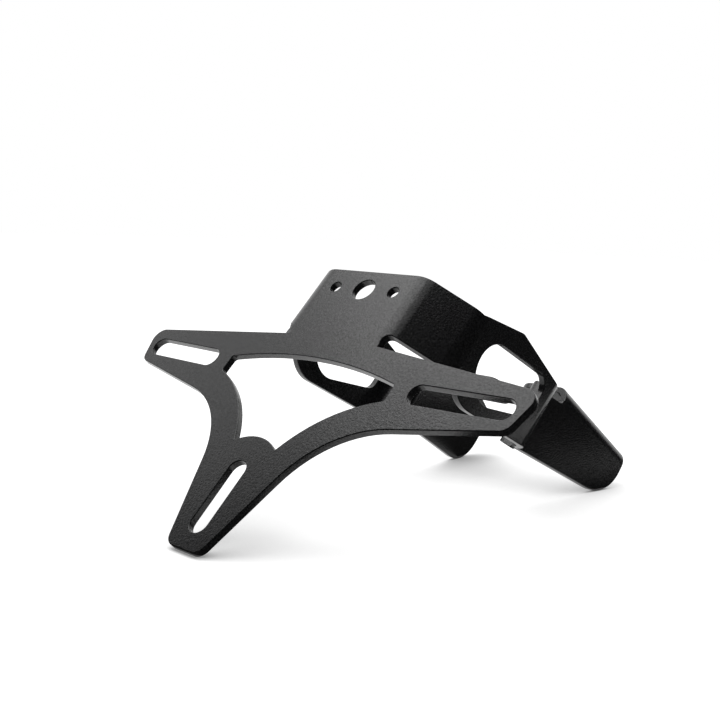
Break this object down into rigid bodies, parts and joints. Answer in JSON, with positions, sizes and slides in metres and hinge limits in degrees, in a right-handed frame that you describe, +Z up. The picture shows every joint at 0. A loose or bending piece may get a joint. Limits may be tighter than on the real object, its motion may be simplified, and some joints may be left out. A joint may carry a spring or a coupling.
{
  "type": "motorbike tail tidy bracket",
  "caption": "Folded black sheet bracket: slotted three-armed number-plate carrier, tab with holes, pierced side walls and flared legs with fixing ears.",
  "frame": {"origin": "middle of the overall size at floor level, as it stands on the lower arm's tip and both feet", "axes": "+Z up from the floor, front of the carrier towards -Y, +X to the right of someone facing its front"},
  "size_m": [0.1692, 0.187, 0.0809],
  "materials": {
    "black_powder_coat": "satin"
  },
  "bodies": {
    "root": {"bracket": "black_powder_coat"}
  },
  "joints": []
}
